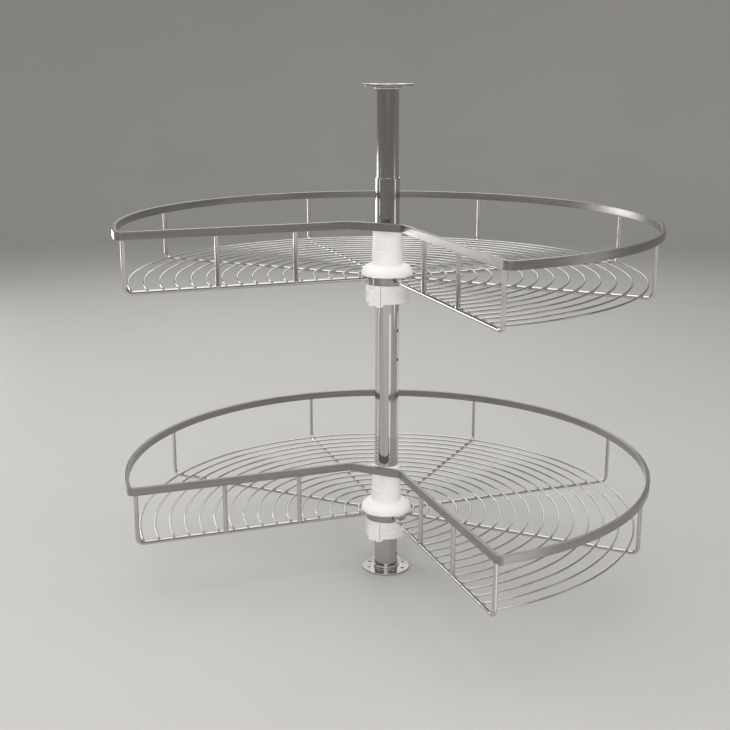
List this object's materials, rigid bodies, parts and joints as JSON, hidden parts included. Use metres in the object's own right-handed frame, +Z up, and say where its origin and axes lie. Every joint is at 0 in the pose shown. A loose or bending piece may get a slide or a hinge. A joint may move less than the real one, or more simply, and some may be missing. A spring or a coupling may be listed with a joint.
{
  "type": "corner carousel fitting",
  "caption": "Revolving corner carousel: three-quarter-round wire baskets with flat steel rims that turn on a telescopic chromed post between a floor flange and a top flange.",
  "frame": {"origin": "centre of the floor flange's underside, on the post's axis", "axes": "+Z up the post; the baskets' notch is the quadrant between -X and -Y at rest, so its two sides run along -X and -Y"},
  "size_m": [0.8199, 0.8199, 0.768],
  "materials": {
    "tube_chrome": "bright chrome plate",
    "inner_tube_chrome": "bright chrome plate",
    "flange_chrome": "bright chrome plate",
    "wire_chrome": "bright chrome plate over drawn wire",
    "weld_ring_chrome": "bright chrome plate",
    "band_steel": "satin, brushed along its length",
    "hub_plastic": "fine satin moulding",
    "ring_plastic": "fine satin moulding",
    "glide_plastic": "natural acetal",
    "screw_steel": "blackened"
  },
  "bodies": {
    "post": {"base_flange": "flange_chrome", "main_tube": "tube_chrome", "base_lock_screw": "screw_steel", "slide_lock_screws": "screw_steel"},
    "post_extension": {"inner_tube": "inner_tube_chrome", "top_flange": "flange_chrome"},
    "upper_support": {"upper_support_ring": "ring_plastic", "upper_clamp_screw": "screw_steel", "upper_glide_washer": "glide_plastic"},
    "upper_basket": {"upper_hub": "hub_plastic", "upper_weld_ring": "weld_ring_chrome", "upper_rim_band": "band_steel", "upper_side_wire_left": "wire_chrome", "upper_side_wire_right": "wire_chrome", "upper_stays_left": "wire_chrome", "upper_stays_right": "wire_chrome", "upper_spoke_1": "wire_chrome", "upper_spoke_2": "wire_chrome", "upper_spoke_3": "wire_chrome", "upper_spoke_4": "wire_chrome", "upper_spoke_5": "wire_chrome", "upper_floor_arcs": "wire_chrome"},
    "lower_support": {"lower_support_ring": "ring_plastic", "lower_clamp_screw": "screw_steel", "lower_glide_washer": "glide_plastic"},
    "lower_basket": {"lower_hub": "hub_plastic", "lower_weld_ring": "weld_ring_chrome", "lower_rim_band": "band_steel", "lower_side_wire_left": "wire_chrome", "lower_side_wire_right": "wire_chrome", "lower_stays_left": "wire_chrome", "lower_stays_right": "wire_chrome", "lower_spoke_1": "wire_chrome", "lower_spoke_2": "wire_chrome", "lower_spoke_3": "wire_chrome", "lower_spoke_4": "wire_chrome", "lower_spoke_5": "wire_chrome", "lower_floor_arcs": "wire_chrome"}
  },
  "joints": [
    {"name": "post_telescope", "type": "slide", "parent": "post", "child": "post_extension", "axis": [0, 0, 1], "range_m": [-0.115, 0.022]},
    {"name": "upper_height", "type": "slide", "parent": "post", "child": "upper_support", "axis": [0, 0, 1], "range_m": [-0.15, 0.05]},
    {"name": "upper_turn", "type": "hinge", "parent": "upper_support", "child": "upper_basket", "pos_m": [0, 0, 0.488], "axis": [0, 0, 1], "continuous": true},
    {"name": "lower_height", "type": "slide", "parent": "post", "child": "lower_support", "axis": [0, 0, 1], "range_m": [-0.045, 0.1]},
    {"name": "lower_turn", "type": "hinge", "parent": "lower_support", "child": "lower_basket", "pos_m": [0, 0, 0.106], "axis": [0, 0, 1], "continuous": true}
  ]
}
